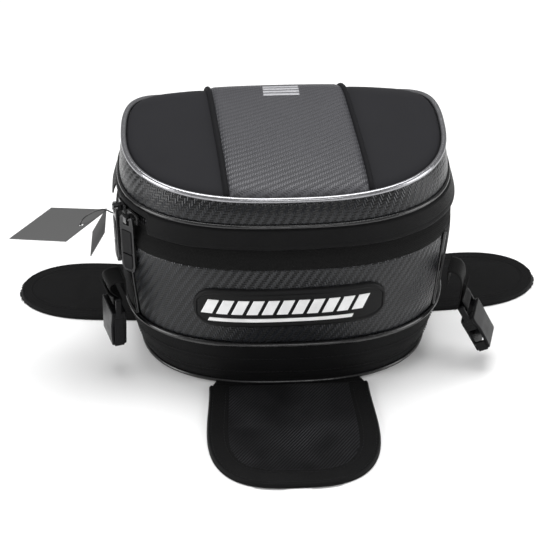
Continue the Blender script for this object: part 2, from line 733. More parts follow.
def build_base():
    pad_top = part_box("base_pad")[1].z
    rings = [(s, 0, 0) for s in (0.02, 0.4, 0.75)]
    rings += [(1, 6.6 * MM, 0), (1, 6 * MM, 0.5 * MM)]
    rings += [(1, 6 * MM, pad_top - 0.4 * MM), (1, 6.6 * MM, pad_top)]
    rings += [(s, 0, pad_top) for s in (0.75, 0.4)]
    pad = ring_sheet("base_pad_skin", rings)
    give(pad, PAD_RUBBER, "bag", ["base_pad"])

    low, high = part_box("base_tray")
    bottom, top = low.z / MM, high.z / MM
    profile = profile_line([(22, bottom), (7, bottom), (3, bottom + 1), (0.9, bottom + 4),
                            (0.1, bottom + 9), (-0.5, 22), (-0.5, 34), (0.1, 44), (1.1, top + 0.9)], 46)
    seams = (16.5 * MM, 33 * MM)

    def folds(across, up):
        level = profile[round(up * (len(profile) - 1))][1]
        groove = sum(math.exp(-((level - s) / (0.8 * MM)) ** 2) for s in seams)
        sway = math.sin(across * TAU * 5 + 1) + math.sin(across * TAU * 11)
        return 0.75 * MM * groove + 0.22 * MM * sway * math.sin(math.pi * min(1, level / (50 * MM)))

    tray = wall_sheet("base_tray_fabric", profile, 0, 360, 260, 1.5 * MM, folds)
    give(tray, NYLON, "bag", ["base_tray"])
    for i, level in enumerate(seams):
        path = [on_outline(a, level + 2.4 * MM, -0.75 * MM) for a in even_angles(180, 540, 500, level)[0]]
        give(stitches(f"base_stitching_{i + 1}", path), THREAD, "bag")
    for node, shape in (("bottom_piping", BOTTOM_CORD), ("lower_piping", LOWER_CORD)):
        give(ring_cord(f"{node}_cord", *shape), GLOSS_CORD, "bag", [node])


# ---- Walls --------------------------------------------------------------------------------------
LEFT_SEAM, RIGHT_SEAM = 203.7, 336.3
PANEL_ROOM = 0.6


def build_walls():
    low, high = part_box("front_panel")
    bottom, top = low.z / MM - 1.6, high.z / MM + 1
    profile = profile_line([(1.4, bottom), (0.2, bottom + 3), (-0.5, bottom + 14), (-0.6, 96),
                            (-0.2, top - 10), (0.5, top)], 40)

    def edges(across, up):
        near = min(across, 1 - across)
        return 1.3 * MM * math.exp(-(near / 0.012) ** 2) + 0.18 * MM * math.sin(across * 29 + up * 5)

    front = wall_sheet("front_panel_vinyl", profile, LEFT_SEAM + PANEL_ROOM, RIGHT_SEAM - PANEL_ROOM, 190,
                       1.5 * MM, edges)
    give(front, WALL_VINYL, "bag", ["front_panel"])

    def soft_folds(across, up):
        pull = math.sin(across * 31) * math.sin(math.pi * up) + 0.6 * math.sin(across * 67 + up * 6)
        return edges(across, up) - 0.35 * MM * pull

    rear = wall_sheet("rear_panel_fabric", profile, RIGHT_SEAM + PANEL_ROOM,
                      360 + LEFT_SEAM - PANEL_ROOM, 240, 1.5 * MM, soft_folds)
    give(rear, NYLON, "bag", ["rear_panel"])
    for side, degrees in (("left", LEFT_SEAM), ("right", RIGHT_SEAM)):
        levels = np.linspace(bottom + 0.5, top - 0.5, 40) * MM
        path = [on_outline(math.radians(degrees), z, 0.3 * MM) for z in levels]
        cord = tube(f"seam_cord_{side}", path, 1.9 * MM)
        give(cord, GLOSS_CORD, "bag", [f"seam_piping_{side}"])
    build_lining()


def build_lining():
    """The lining hangs a little further in than the frame's, clear of the foam behind it."""
    floor, top = [corner.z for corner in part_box("bag_lining")]
    side = 12.6 * MM
    rings = [(s, 0, floor) for s in (0.03, 0.3, 0.55, 0.75)]
    rings += [(1, side + 3 * MM, floor), (1, side + 1.4 * MM, floor + 1.5 * MM)]
    rings += [(1, side, z) for z in np.linspace(floor + 6 * MM, top, 14)]
    give(ring_sheet("bag_lining_cloth", rings, 0.6 * MM), LINING, "bag", ["bag_lining"])
    hem = ring_cord("lining_binding", 10.4 * MM, top, 1.2 * MM, sides=8)
    give(hem, SMOOTH_NYLON, "bag")
    give(NODES["wall_foam"], FOAM)
    give(NODES["base_board"], BOARD)


# ---- Zipper -------------------------------------------------------------------------------------
HINGE_FROM, HINGE_TO = 55, 125
TEETH_INSET = 6 * MM
TOOTH_PITCH = 2.9 * MM


def zip_teeth(name, level, rise):
    """One row of moulded teeth; rise is -1 for the row below the parting line and 1 above it."""
    fine = 900
    angles, run = even_angles(HINGE_TO + 1, 360 + HINGE_FROM - 1, fine, level)
    count = int(run / TOOTH_PITCH)
    verts, faces = [], []
    for angle in np.interp(np.linspace(0, run, count), np.linspace(0, run, fine), angles):
        here = on_outline(angle, level, TEETH_INSET)
        here.z = level
        ahead = on_outline(angle + 0.01, level, TEETH_INSET)
        along = Vector((ahead.x - here.x, ahead.y - here.y, 0)).normalized()
        out = along.cross(Vector((0, 0, 1)))
        base = len(verts)
        for height, half, deep in ((-1.3, 0.75, 1.5), (0.2, 0.8, 1.6), (0.9, 0.95, 1.3), (1.4, 0.55, 0.9)):
            for a, b in ((-1, -1), (1, -1), (1, 1), (-1, 1)):
                verts.append(here + along * a * half * MM + out * b * deep * MM
                             - Vector((0, 0, rise * height * MM)))
        faces += grid_faces(4, 4, wrap=True, start=base)
        faces += end_caps(base, base + 12, 4)
    return finish_mesh(new_piece(name, verts, faces, verts, smooth=False), 1e-8)


def build_zipper():
    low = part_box("zip_tape_lower")[0].z / MM
    profile = profile_line([(1.6, low - 1.2), (0.6, low), (1.0, 139), (3.0, 145), (5.4, 149.5),
                            (6.8, 152.5), (6.4, 158.4)], 30)
    tape = wall_sheet("zip_tape_lower_knit", profile, HINGE_TO + 0.5, 360 + HINGE_FROM - 0.5, 300, 0.9 * MM)
    give(tape, TAPE, "bag", ["zip_tape_lower"])
    row = zip_teeth("zip_teeth_lower_row", 159.5 * MM, 1)
    give(row, BLACK_PLASTIC, "bag", ["zip_teeth_lower"])

    upper = profile_line([(5.9, 162.9), (5.6, 165), (4.2, 169), (2.6, 173.4)], 12)
    tape = wall_sheet("zip_tape_upper_knit", upper, 0, 360, 260, 0.8 * MM)
    give(tape, TAPE, "lid", ["zip_tape_upper"])
    row = zip_teeth("zip_teeth_upper_row", 162.2 * MM, -1)
    give(row, BLACK_PLASTIC, "lid", ["zip_teeth_upper"])
    build_storm_flap()
    build_hinge()


PARKING_FROM, PARKING_TO = 187, 214.6  # the stretch, in degrees, where the sliders park
NOTCH_RAMP = 1.4


def build_storm_flap():
    """The weather flap over the zipper, lifted where the sliders park, with a turned hem."""
    low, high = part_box("storm_flap")
    bottom, top = low.z / MM, high.z / MM
    start, end = HINGE_TO + 0.6, 360 + HINGE_FROM - 0.6
    rows, columns = 22, 320
    angles, run = even_angles(start, end, columns, low.z)
    verts, coords = [], []
    for i in range(rows):
        up = i / (rows - 1)
        for j, angle in enumerate(angles):
            degrees = math.degrees(angle)
            parked = min(degrees - PARKING_FROM, PARKING_TO - degrees)
            notch = 12.4 * min(1, max(0, parked / NOTCH_RAMP + 0.5))
            wave = 0.45 * math.sin(angle * 9 + 0.6) + 0.3 * math.sin(angle * 23)
            edge = bottom + notch + wave * 0.8
            level = edge + (top + 1.4 - edge) * up
            hem = math.exp(-((level - edge - 4.2) / 0.6) ** 2)
            proud = 0.9 + 0.3 * wave * (1 - up) - 0.45 * hem - 2.4 * max(0, up - 0.86) / 0.14
            proud -= 0.9 * math.exp(-(level - edge) / 0.7)
            verts.append(on_outline(angle, level * MM, -proud * MM))
            coords.append((j / (columns - 1) * run, (level - bottom) * MM, 0))
    flap = new_piece("storm_flap_fabric", verts, grid_faces(rows, columns), coords)
    face_away(flap, Vector((0, 0, 0.16)))
    thicken(flap, 1.1 * MM)
    give(flap, SMOOTH_NYLON, "lid", ["storm_flap", "storm_flap_side"])


def build_hinge():
    """The strip of cloth at the rear that bends as the lid opens."""
    hinge = profile_line([(1.0, 133), (0.3, 136), (0.2, 150), (-0.1, 158), (0.0, 164), (0.6, 172),
                          (1.8, 175)], 36)
    cloth = wall_sheet("hinge_fabric", hinge, HINGE_FROM - 1, HINGE_TO + 1, 110, 1.0 * MM)
    cloth.data.materials.append(NYLON)
    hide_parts("hinge_strip")
    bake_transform(cloth)


# ---- Lid ----------------------------------------------------------------------------------------
LID_CORD = (0.8 * MM, 174.9 * MM, 1.9 * MM)
RIM_CORD = (0.4 * MM, 198 * MM, 2.6 * MM)
PANEL_INSET = 3.2 * MM
BAND_TURN = math.radians(4.6)
BAND_HALF = 60 * MM


def rim_share(x, y):
    return math.hypot(x, y) / (reach(math.atan2(y, x), RIM_LEVEL) - PANEL_INSET)


def lid_point(x, y, edge_distance, proud):
    """A point on the padded top: the dome, rolled down within a few millimetres of the panel's edge."""
    share = min(rim_share(x, y), 1)
    roll, deep = 9 * MM, 4.2 * MM
    near = max(0, 1 - edge_distance / roll)
    fall = deep * (1 - math.sqrt(max(0, 1 - near * near)))
    z = RIM_LEVEL + CROWN * (1 - share ** 3) + lift(y, RIM_LEVEL) + deep - 1.5 * MM
    return Vector((x, y, z - fall + proud))


def band_line(offset):
    """Ends of a line along the band, front and rear, at a sideways offset: points on the panel's rim."""
    along = Vector((-math.sin(BAND_TURN), math.cos(BAND_TURN)))
    across = Vector((math.cos(BAND_TURN), math.sin(BAND_TURN)))
    ends = []
    for sign in (-1, 1):
        near, far = 0.0, 0.2
        for _ in range(40):
            middle = (near + far) / 2
            p = across * offset + along * sign * middle
            if rim_share(p.x, p.y) < 1:
                near = middle
            else:
                far = middle
        ends.append(across * offset + along * sign * near)
    return ends


def spaced(count):
    """Numbers from 0 to 1, closer together at both ends."""
    return [0.5 - 0.5 * math.cos(math.pi * i / (count - 1)) for i in range(count)]


def build_lid_band():
    rows, columns = 120, 56
    verts, coords = [], []
    half = BAND_HALF - 1.2 * MM
    offsets = [half * (2 * s - 1) for s in spaced(columns)]
    ends = [band_line(offset) for offset in offsets]
    for t in spaced(rows):
        for offset, (front, rear) in zip(offsets, ends):
            p = front.lerp(rear, t)
            distance = min(t, 1 - t) * (rear - front).length
            proud = 2.2 * MM * min(1, (half - abs(offset)) / (5 * MM)) ** 0.5
            verts.append(lid_point(p.x, p.y, distance, proud))
            coords.append((offset, t * (rear - front).length, 0))
    band = new_piece("lid_band_vinyl", verts, grid_faces(rows, columns), coords)
    face_away(band, Vector((0, 0, 0)))
    puff(band, edge_indices(rows, columns), 0.9)
    return thicken(band, 1.4 * MM)


def build_lid_side(side, sign):
    rows, columns, fine = 90, 60, 400
    offset = sign * (BAND_HALF + 1.0 * MM)
    front, rear = band_line(offset)
    start, end = math.atan2(front.y, front.x), math.atan2(rear.y, rear.x)
    if sign < 0:
        start, end = start % TAU, end % TAU
    rim, _ = even_angles(math.degrees(start), math.degrees(end), fine, RIM_LEVEL)
    verts, coords = [], []
    for t in spaced(rows):
        angle = float(np.interp(t, np.linspace(0, 1, fine), rim))
        r = reach(angle, RIM_LEVEL) - PANEL_INSET
        edge = Vector((r * math.cos(angle), r * math.sin(angle)))
        seam = front.lerp(rear, t)
        for u in spaced(columns):
            p = seam.lerp(edge, u)
            share = rim_share(p.x, p.y)
            to_rim = (1 - share) * reach(math.atan2(p.y, p.x), RIM_LEVEL)
            across = abs(p.x * math.cos(BAND_TURN) + p.y * math.sin(BAND_TURN)) - abs(offset)
            verts.append(lid_point(p.x, p.y, to_rim, -1.2 * MM * math.exp(-max(0, across) / (4 * MM))))
            coords.append((p.x, p.y, 0))
    panel = new_piece(f"lid_panel_{side}_neoprene", verts, grid_faces(rows, columns), coords)
    face_away(panel, Vector((0, 0, 0)))
    puff(panel, edge_indices(rows, columns), 0.7)
    return thicken(panel, 1.6 * MM)


def build_lid():
    band = build_lid_band()
    give(band, BAND_VINYL, "lid", ["lid_band"])
    for side, sign in (("left", -1), ("right", 1)):
        panel = build_lid_side(side, sign)
        give(panel, NEOPRENE, "lid", [f"lid_panel_{side}"])
        front, rear = band_line(sign * (BAND_HALF + 0.2 * MM))
        path = []
        for t in np.linspace(0.0, 1.0, 90):
            p = front.lerp(rear, t)
            distance = min(t, 1 - t) * (rear - front).length
            path.append(lid_point(p.x, p.y, distance, 1.0 * MM))
        cord = tube(f"band_piping_{side}_cord", path, 2.3 * MM)
        give(cord, CORD_CLOTH, "lid", [f"band_piping_{side}"])

    profile = profile_line([(1.4, 175.6), (0.5, 178), (-0.3, 183), (-0.4, 188), (0.5, 193.5),
                            (2.4, 197)], 26)

    def soft(across, up):
        return -0.25 * MM * math.sin(across * 41) * math.sin(math.pi * up)

    wall = wall_sheet("lid_wall_vinyl", profile, 90, 450, 280, 1.3 * MM, soft)
    give(wall, WALL_VINYL, "lid", ["lid_wall"])
    give(ring_cord("lid_piping_cord", *LID_CORD), GLOSS_CORD, "lid", ["lid_piping"])
    give(ring_cord("rim_piping_cord", *RIM_CORD, count=260, sides=16), SILVER_CORD, "lid",
         ["rim_piping"])
    build_lid_inside()
    build_reflective_mark()


def build_lid_inside():
    lining_top = 189.4
    rings = [(s, 0, (lining_top + 6 - 5.4 * s ** 3) * MM) for s in (0.03, 0.25, 0.5, 0.75, 0.92)]
    rings += [(1, 5.4 * MM, (lining_top - 0.6) * MM), (1, 4.4 * MM, (lining_top - 3) * MM)]
    rings += [(1, 4.3 * MM, z * MM) for z in (184, 180, 176.6)]
    cloth = ring_sheet("lid_lining_cloth", rings, 0.6 * MM)
    give(cloth, LINING, "lid", ["lid_lining"])
    give(NODES["lid_foam"], FOAM)
    give(NODES["lid_pocket_mesh"], MESH)
    give(NODES["lid_pocket_binding"], FRAME_NYLON)


def build_reflective_mark():
    """Four plain bars of one length, printed on the band near its far end."""
    low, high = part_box("reflective_patch")
    tree = BVHTree.FromObject(bpy.data.objects["lid_band_vinyl"], bpy.context.evaluated_depsgraph_get())
    centre = (low + high) / 2
    half, deep = 16, 1.9
    verts, faces, coords = [], [], []
    columns, rows = 24, 5
    for y0 in (8.4, 2.8, -2.8, -8.4):
        base = len(verts)
        for i in range(rows):
            for j in range(columns):
                x = centre.x + half * (2 * j / (columns - 1) - 1) * MM
                y = centre.y + (y0 + deep * (2 * i / (rows - 1) - 1)) * MM
                hit = tree.ray_cast(Vector((x, y, 0.4)), Vector((0, 0, -1)))[0]
                verts.append(hit + Vector((0, 0, 0.25 * MM)))
                coords.append((x, y, 0))
        faces += grid_faces(rows, columns, start=base)
    mark = new_piece("reflective_print", verts, faces, coords)
    face_away(mark, Vector((0, 0, 0)))
    thicken(mark, 0.3 * MM)
    give(mark, FILM, "lid", ["reflective_patch"])


# ---- Badge ----------------------------------------------------------------------------------------
BADGE_HALF, BADGE_TALL, BADGE_LEVEL = 83 * MM, 20.5 * MM, 95 * MM
BADGE_END = 20.5 * MM
BADGE_TILT = 0.014
BADGE_SQUARENESS = 2.3
BAR_SLANT = 0.42


def on_front(x, level, proud):
    """A point on the front wall, standing out by some distance."""
    side, front, _ = section(level)
    y = -front * (1 - abs(x / side) ** FRONT_SQUARENESS) ** (1 / FRONT_SQUARENESS)
    return Vector((x, y - proud, level))


def build_badge_plate():
    """A rubber oval with a rolled edge, a raised border and a groove inside it."""
    rows, columns = 44, 150
    verts, coords = [], []
    for row in spaced(rows):
        v = 2 * row - 1
        for s in spaced(columns):
            u = 2 * s - 1
            past = max(0, abs(u) * BADGE_HALF * 0.9995 - (BADGE_HALF - BADGE_END)) / BADGE_END
            height = BADGE_TALL * (1 - past ** BADGE_SQUARENESS) ** (1 / BADGE_SQUARENESS)
            rim = min((1 - abs(v)) * height, (1 - abs(u)) * BADGE_HALF * 1.6)
            rolled = 1 - max(0, 1 - rim / (1.5 * MM)) ** 2
            border = 0.55 * math.exp(-((rim - 3.4 * MM) / (0.8 * MM)) ** 2)
            groove = 0.5 * math.exp(-((rim - 5.6 * MM) / (0.7 * MM)) ** 2)
            proud = (0.2 + 2.9 * rolled + border - groove) * MM
            x = u * BADGE_HALF
            verts.append(on_front(x, BADGE_LEVEL + v * height + BADGE_TILT * x, proud))
            coords.append((x, v * height, 0))
    plate = new_piece("badge_rubber", verts, grid_faces(rows, columns), coords)
    face_away(plate, Vector((0, 0, BADGE_LEVEL)))
    thicken(plate, 2.2 * MM)
    give(plate, RUBBER, "bag", ["badge_plate"])


def bar_ring(half, tall, columns):
    """A bar's outline in millimetres, along its foot and back along its head."""
    xs = [-half + 2 * half * k / columns for k in range(columns + 1)]
    return [(x, -tall) for x in xs] + [(-x, tall) for x in xs]


def build_badge_bars():
    """A row of slanted bars and a line under them, each with a chamfered face."""
    verts, faces = [], []
    bars = [(-68.8 + 12.96 * i, 2.4, 4.7, 7.4) for i in range(11)] + [(-8, -11.4, 62, 1.7)]
    for x0, z0, half, tall in bars:
        base = len(verts)
        columns = max(4, int(half / 1.5))
        for inset, proud in ((0, 2.9), (0, 3.75), (0.35, 4.05)):
            for x, z in bar_ring(half - inset, tall - inset, columns):
                across = (x0 + x + BAR_SLANT * z) * MM
                level = BADGE_LEVEL + (z0 + z) * MM + BADGE_TILT * across
                verts.append(on_front(across, level, proud * MM))
        count = 2 * columns + 2
        faces += grid_faces(3, count, wrap=True, start=base)
        top = base + 2 * count
        for k in range(columns):
            faces.append((top + k, top + k + 1, top + count - 2 - k, top + count - 1 - k))
            faces.append((base + k, base + count - 1 - k, base + count - 2 - k, base + k + 1))
    bars_piece = finish_mesh(new_piece("badge_bars", verts, faces, verts, smooth=False), 1e-7)
    give(bars_piece, WHITE_RUBBER, "bag", ["badge_emblem"])


# ---- Flat moulded pieces --------------------------------------------------------------------------
def rounded_outline(corners, radius, steps=6):
    """A closed outline with rounded corners, from (x, z) corners in millimetres; radius may be a list."""
    count = len(corners)
    radii = radius if isinstance(radius, (list, tuple)) else [radius] * count
    points = []
    for i in range(count):
        here = Vector(corners[i])
        before, after = Vector(corners[i - 1]), Vector(corners[(i + 1) % count])
        d1, d2 = (before - here).normalized(), (after - here).normalized()
        half = d1.angle(d2) / 2
        back = min(radii[i] / math.tan(half), 0.49 * (before - here).length, 0.49 * (after - here).length)
        start, end = here + d1 * back, here + d2 * back
        for k in range(steps + 1):
            t = k / steps
            points.append(start * (1 - t) ** 2 + here * 2 * t * (1 - t) + end * t * t)
    return points


def flat_plate(name, outlines, thickness, edge=0.5):
    """A plate of the outline with holes, its edges rounded, standing in X and Z about Y 0, in mm."""
    curve = bpy.data.curves.new(name, "CURVE")
    curve.dimensions = "2D"
    curve.fill_mode = "BOTH"
    curve.extrude = (thickness / 2 - edge) * MM
    curve.bevel_depth = edge * MM
    curve.bevel_resolution = 2
    curve.offset = -edge * MM
    for outline in outlines:
        spline = curve.splines.new("POLY")
        spline.points.add(len(outline) - 1)
        for point, (x, z) in zip(spline.points, outline):
            point.co = (x * MM, z * MM, 0, 1)
        spline.use_cyclic_u = True
    shape = linked(name + "_outline", curve)
    graph = bpy.context.evaluated_depsgraph_get()
    mesh = bpy.data.meshes.new_from_object(shape.evaluated_get(graph))
    bpy.data.objects.remove(shape)
    mesh.name = name
    mesh.transform(Matrix.Rotation(math.pi / 2, 4, "X"))
    piece = finish_mesh(linked(name, mesh), 1e-6)
    shade(mesh, False)
    return piece


def join(name, pieces):
    """One object made of several, kept as separate bodies inside its mesh."""
    work = bmesh.new()
    for piece in pieces:
        work.from_mesh(piece.data)
        bpy.data.objects.remove(piece)
    mesh = bpy.data.meshes.new(name)
    work.to_mesh(mesh)
    work.free()
    return linked(name, mesh)


def bar_across(name, half, radius, sides=14):
    """A round bar along X, centred, in millimetres."""
    return tube(name, [Vector((x * MM, 0, 0)) for x in (-half, 0, half)], radius * MM, sides)


def refined_copy(node, name, width, segments=3):
    """A copy of a frame part with its edges rounded."""
    piece = finish_mesh(linked(name, NODES[node].data.copy()), 1e-6)
    bpy.context.view_layer.update()
    work = bmesh.new()
    work.from_mesh(piece.data)
    bmesh.ops.dissolve_limit(work, angle_limit=math.radians(2), verts=work.verts, edges=work.edges)
    work.to_mesh(piece.data)
    work.free()
    modify(piece, "BEVEL", width=width, segments=segments, angle_limit=math.radians(30),
           limit_method="ANGLE")
    shade(piece.data, False)
    return piece


# ---- Zip pulls --------------------------------------------------------------------------------------
PULL_WIDTH, PULL_LENGTH, PULL_THICK = 15, 56, 3.4


def mirrored(half_outline):
    """A closed outline from its right half: (x, z, corner radius) in mm, taken clockwise."""
    left = [(-x, z, r) for x, z, r in reversed(half_outline)]
    points = [*left, *half_outline]
    return rounded_outline([p[:2] for p in points], [p[2] for p in points])


def pull_pieces(which):
    half, low = PULL_WIDTH / 2, 2.6 - PULL_LENGTH
    outer = mirrored([(3.2, -5.2, 1.6), (3.2, 2.6, 1.2), (half - 0.9, 2.6, 2.2), (half, -6, 3),
                      (half, low + 7, 5), (half - 2.2, low, 4.5)])
    inner = half - 2.3
    window = mirrored([(inner, -11, 1.2), (inner, low + 7, 2.5), (inner - 1.6, low + 3.4, 2.5)])
    frame_plate = flat_plate("frame_plate", [outer, window], PULL_THICK, 0.75)
    body = join(f"pull_frame_{which}_plated", [frame_plate, bar_across("pull_pin", 4.6, 1.1)])
    grip = inner + 0.15
    split = low + 19
    upper = mirrored([(grip, -10.9, 1), (grip, split + 0.6, 1)])
    lower = mirrored([(grip, split - 0.6, 0.8), (grip, low + 7, 2.4), (grip - 1.6, low + 3.3, 2.4)])
    web = mirrored([(grip, -11, 0.8), (grip, low + 7, 0.8)])
    parts = [flat_plate("upper", [upper], PULL_THICK + 1.0, 0.6),
             flat_plate("lower", [lower], PULL_THICK + 1.0, 0.6),
             flat_plate("web", [web], PULL_THICK - 1.2, 0.3)]
    return body, join(f"pull_grip_{which}_rubber", parts)


def build_pulls():
    for which in ("front", "rear"):
        place, outwards = joint_place(f"pull_{which}_swing")
        here = local_frame(place, outwards)
        body, grip = pull_pieces(which)
        body.data.transform(here)
        grip.data.transform(here)
        give(body, BLACK_METAL, f"pull_{which}", [f"pull_frame_{which}"])
        give(grip, GRIP_RUBBER, f"pull_{which}", [f"pull_grip_{which}"])
        slider = refined_copy(f"slider_{which}", f"slider_{which}_plated", 0.55 * MM, 3)
        give(slider, BLACK_METAL, f"slider_{which}_body", [f"slider_{which}"])


# ---- Straps and buckles -----------------------------------------------------------------------------
WEB_WIDTH, WEB_THICK = 25 * MM, 1.7 * MM


def ribbon(name, path, across, width=WEB_WIDTH, thickness=WEB_THICK):
    """Webbing along a path of points, flat across one direction, with softly rounded selvedges."""
    verts, coords = [], []
    half, deep = width / 2, thickness / 2
    upper = [(half * k / 6, deep * (1 if abs(k) < 6 else 0.45)) for k in range(-6, 7)]
    loop = upper + [(x, -y) for x, y in reversed(upper)]
    run = 0.0
    for i, point in enumerate(path):
        before, after = path[max(i - 1, 0)], path[min(i + 1, len(path) - 1)]
        along = (after - before).normalized()
        up = across.cross(along).normalized()
        if i:
            run += (point - path[i - 1]).length
        for x, y in loop:
            verts.append(point + across * x + up * y)
            coords.append((x, run, 0))
    count = len(loop)
    faces = grid_faces(len(path), count, wrap=True) + end_caps(0, (len(path) - 1) * count, count)
    return finish_mesh(new_piece(name, verts, faces, coords), 1e-8)


def smooth_path(points, count):
    """A Catmull-Rom curve through points, at evenly spaced places."""
    line = []
    padded = [points[0] * 2 - points[1], *points, points[-1] * 2 - points[-2]]
    for a, b, c, d in zip(padded, padded[1:], padded[2:], padded[3:]):
        for k in range(24):
            t = k / 24
            line.append(0.5 * ((2 * b) + (c - a) * t + (2 * a - 5 * b + 4 * c - d) * t * t
                               + (3 * b - a - 3 * c + d) * t ** 3))
    line.append(points[-1])
    run = run_along(line)
    flat = np.array([p[:] for p in line])
    return [Vector([float(np.interp(s, run, flat[:, k])) for k in range(3)])
            for s in np.linspace(0, run[-1], count)]


# How each strap bows out, (outwards, up) in millimetres, and how far its buckle splays, in degrees.
BULGES = {"left": [(16.4, 2), (22.4, -9)], "right": [(16.4, 2), (18.4, -14)]}
SPLAY = {"left": 2, "right": 30}


def bezier(p, q, r, s, t):
    return p * (1 - t) ** 3 + q * 3 * t * (1 - t) ** 2 + r * 3 * t * t * (1 - t) + s * t ** 3


def build_strap(side):
    root, outwards = joint_place(f"strap_{side}_swing")
    bar = joint_place(f"buckle_{side}_swing")[0]
    frame_here = local_frame(root, outwards)
    across = frame_here.to_3x3() @ Vector((1, 0, 0))
    drop = frame_here.inverted() @ bar
    control = [Vector((0, 0, 0)), *[Vector((0, y, z)) * MM for y, z in BULGES[side]], drop]
    outer = [bezier(*control, t) for t in np.linspace(0, 1, 26)]
    heading = (outer[-1] - outer[-2]).normalized()
    loop_radius = 3.9 * MM
    normal = Vector((0, -heading.z, heading.y))
    wrap = []
    for k in range(1, 15):
        turn = math.pi * 1.12 * k / 14
        wrap.append(drop + (normal * -math.cos(turn) + heading * math.sin(turn)) * loop_radius)
    approach = [p - normal * loop_radius * min(1, (i / 20)) for i, p in enumerate(outer[:-1])]
    back = [approach[-1 - 2 * k] + normal * (2.0 + 0.4 * k) * MM for k in range(1, 5)]
    path = approach + wrap + back
    line = [frame_here @ p for p in smooth_path(path, 90)]
    strap = ribbon(f"strap_{side}_webbing", line, across)
    give(strap, WEBBING, f"strap_{side}_body", [f"strap_{side}"])
    tab = [frame_here @ (Vector((0, 0.4 - 1.4 * t * (1 - t), 2.4 - 17 * t)) * MM)
           for t in np.linspace(0, 1, 12)]
    anchor = ribbon(f"strap_{side}_anchor", tab, across, WEB_WIDTH + 1 * MM, 1.2 * MM)
    give(anchor, WEBBING, "bag")
    buckle = buckle_piece(side)
    buckle.data.transform(local_frame(bar, outwards, SPLAY[side]))
    give(buckle, BLACK_PLASTIC, f"buckle_{side}_body", [f"buckle_{side}"])


BUCKLE_WIDTH, BUCKLE_LENGTH, BUCKLE_THICK, BAR_DROP = 34, 50, 13, 5


def buckle_piece(side):
    """The socket half of a side-release buckle: two domed faces, waisted sides, and a bar."""
    low = BAR_DROP - BUCKLE_LENGTH
    half = BUCKLE_WIDTH / 2
    face = mirrored([(half, -9.5, 3), (half, low + 30, 8), (half - 1.6, low + 21, 8),
                     (half - 1.6, low + 9, 8), (half - 0.4, low, 2.5)])
    parts = []
    for sign in (-1, 1):
        plate = flat_plate("face", [face], 2.9, 1.3)
        plate.data.transform(Matrix.Translation((0, sign * 5.05 * MM, 0)))
        bow_out(plate, sign * 1.1 * MM, low, -10)
        parts.append(plate)
    head = mirrored([(half - 0.3, -9.8, 2), (half - 0.3, -17, 2)])
    parts.append(flat_plate("head", [head], BUCKLE_THICK - 3.6, 0.8))
    for sign in (-1, 1):
        spans = ((-17, low + 0.5),) if side == "left" else ((-17, low + 24), (low + 8, low + 0.5))
        for top, bottom in spans:
            x0, x1 = sign * (half - 3.4), sign * (half - 0.3)
            rail = rounded_outline([(x0, top + 1), (x1, top + 1), (x1, bottom - 1), (x0, bottom - 1)], 0.8)
            parts.append(flat_plate("rail", [rail], BUCKLE_THICK - 4.2, 0.7))
        arm = rounded_outline([(sign * (half - 3.2), 4.4), (sign * half, 3), (sign * half, -12),
                               (sign * (half - 3.2), -12)], [1.6, 2.2, 0.4, 0.4])
        parts.append(flat_plate("arm", [arm], 5.6, 1.0))
    parts.append(bar_across("bar", half - 1, 2.4, 16))
    return join(f"buckle_{side}_moulding", parts)


def bow_out(piece, amount, low, high):
    """Domes a flat plate: its middle stands out and its ends stay."""
    for vertex in piece.data.vertices:
        share = (vertex.co.z / MM - low) / (high - low)
        across = vertex.co.x / (BUCKLE_WIDTH / 2 * MM)
        vertex.co.y += amount * math.sin(math.pi * min(max(share, 0), 1)) * (1 - 0.6 * across * across)


# ---- Magnetic flaps ---------------------------------------------------------------------------------
SIDE_FLAP = {"length": 122.6, "root_half": 45, "end_half": 58, "squareness": 2.16, "border": 12,
             "magnets": [(34, 0), (84, 0)]}
FRONT_FLAP = {"length": 134.3, "root_half": 71.5, "end_half": 84, "squareness": 3.1, "border": 17,
              "magnets": [(78, -36), (78, 36)]}
FLAP_SHAPES = {"front": FRONT_FLAP, "left": SIDE_FLAP, "right": SIDE_FLAP}
FLAP_BOTTOM, FLAP_FACE = 0.2 * MM, 4.5 * MM


def flap_outline(shape, steps=160):
    """The flap's edge from one root corner round the tip to the other: (outwards, across) in mm."""
    points = []
    for i in range(steps + 1):
        turn = -math.pi / 2 + math.pi * i / steps
        out = abs(math.cos(turn)) ** (2 / shape["squareness"])
        across = math.copysign(abs(math.sin(turn)) ** (2 / shape["squareness"]), turn)
        flare = out * out * (3 - 2 * out)
        half = shape["root_half"] + (shape["end_half"] - shape["root_half"]) * flare
        points.append((shape["length"] * out, half * across))
    return np.array(points)


def edge_distance(points, outline):
    """Distance of each point to the outline, root line excluded, in millimetres."""
    best = np.full(len(points), 1e9)
    for a, b in zip(outline, outline[1:]):
        d = b - a
        t = np.clip(((points - a) @ d) / max(d @ d, 1e-12), 0, 1)
        best = np.minimum(best, np.linalg.norm(points - a - t[:, None] * d, axis=1))
    return best


def flap_grid(shape, rows, columns):
    """Points over the flap: rows across it, closer together at the tip and the sides."""
    outline = flap_outline(shape, 400)
    half_way = len(outline) // 2
    outs, halves = outline[half_way:, 0][::-1], np.abs(outline[half_way:, 1])[::-1]
    points = []
    for i in range(rows):
        share = math.sin(math.pi / 2 * i / (rows - 1))
        x = shape["length"] * share * 0.9995
        half = float(np.interp(x, outs, halves))
        for s in spaced(columns):
            points.append((x, half * (2 * s - 1)))
    return np.array(points)


